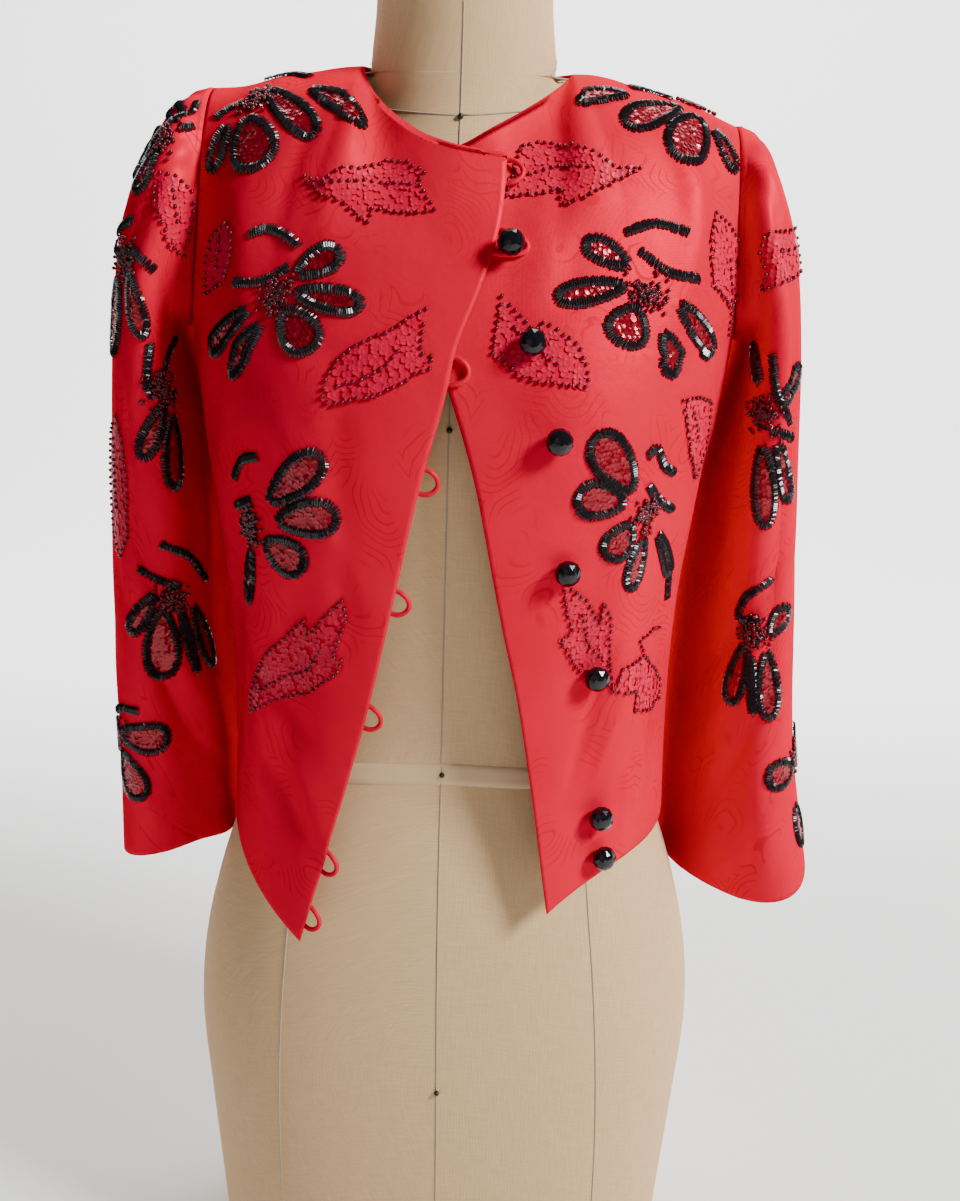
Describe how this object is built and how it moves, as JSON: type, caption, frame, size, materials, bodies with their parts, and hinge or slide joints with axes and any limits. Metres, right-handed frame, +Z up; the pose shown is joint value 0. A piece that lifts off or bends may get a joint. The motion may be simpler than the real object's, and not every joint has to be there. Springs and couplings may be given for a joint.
{
  "type": "matador jacket on a dress form",
  "caption": "Cropped collarless matador jacket in beaded red silk with three-quarter sleeves, fastened at the chest and open below, worn on a limbless cloth-covered dress form.",
  "frame": {"origin": "on the dress form's flat underside, below the middle of its neck", "axes": "+Z up the form, -Y out of its front, +X towards the wearer's left"},
  "size_m": [0.4649, 0.2694, 0.856],
  "materials": {
    "silk": "red silk jacquard with a soft sheen and a tone-on-tone curling pattern",
    "linen": "matt cream linen cover with sewn seams",
    "button_glass": "black faceted glass"
  },
  "bodies": {
    "root": {"dress_form": "linen", "right_front": "silk", "left_front": "silk", "back": "silk", "right_sleeve": "silk", "left_sleeve": "silk", "button_1": "button_glass", "button_2": "button_glass", "button_3": "button_glass", "button_4": "button_glass", "button_5": "button_glass", "button_6": "button_glass", "button_7": "button_glass", "loop_1": "silk", "loop_2": "silk", "loop_3": "silk", "loop_4": "silk", "loop_5": "silk", "loop_6": "silk", "loop_7": "silk", "loop_8": "silk"}
  },
  "joints": []
}
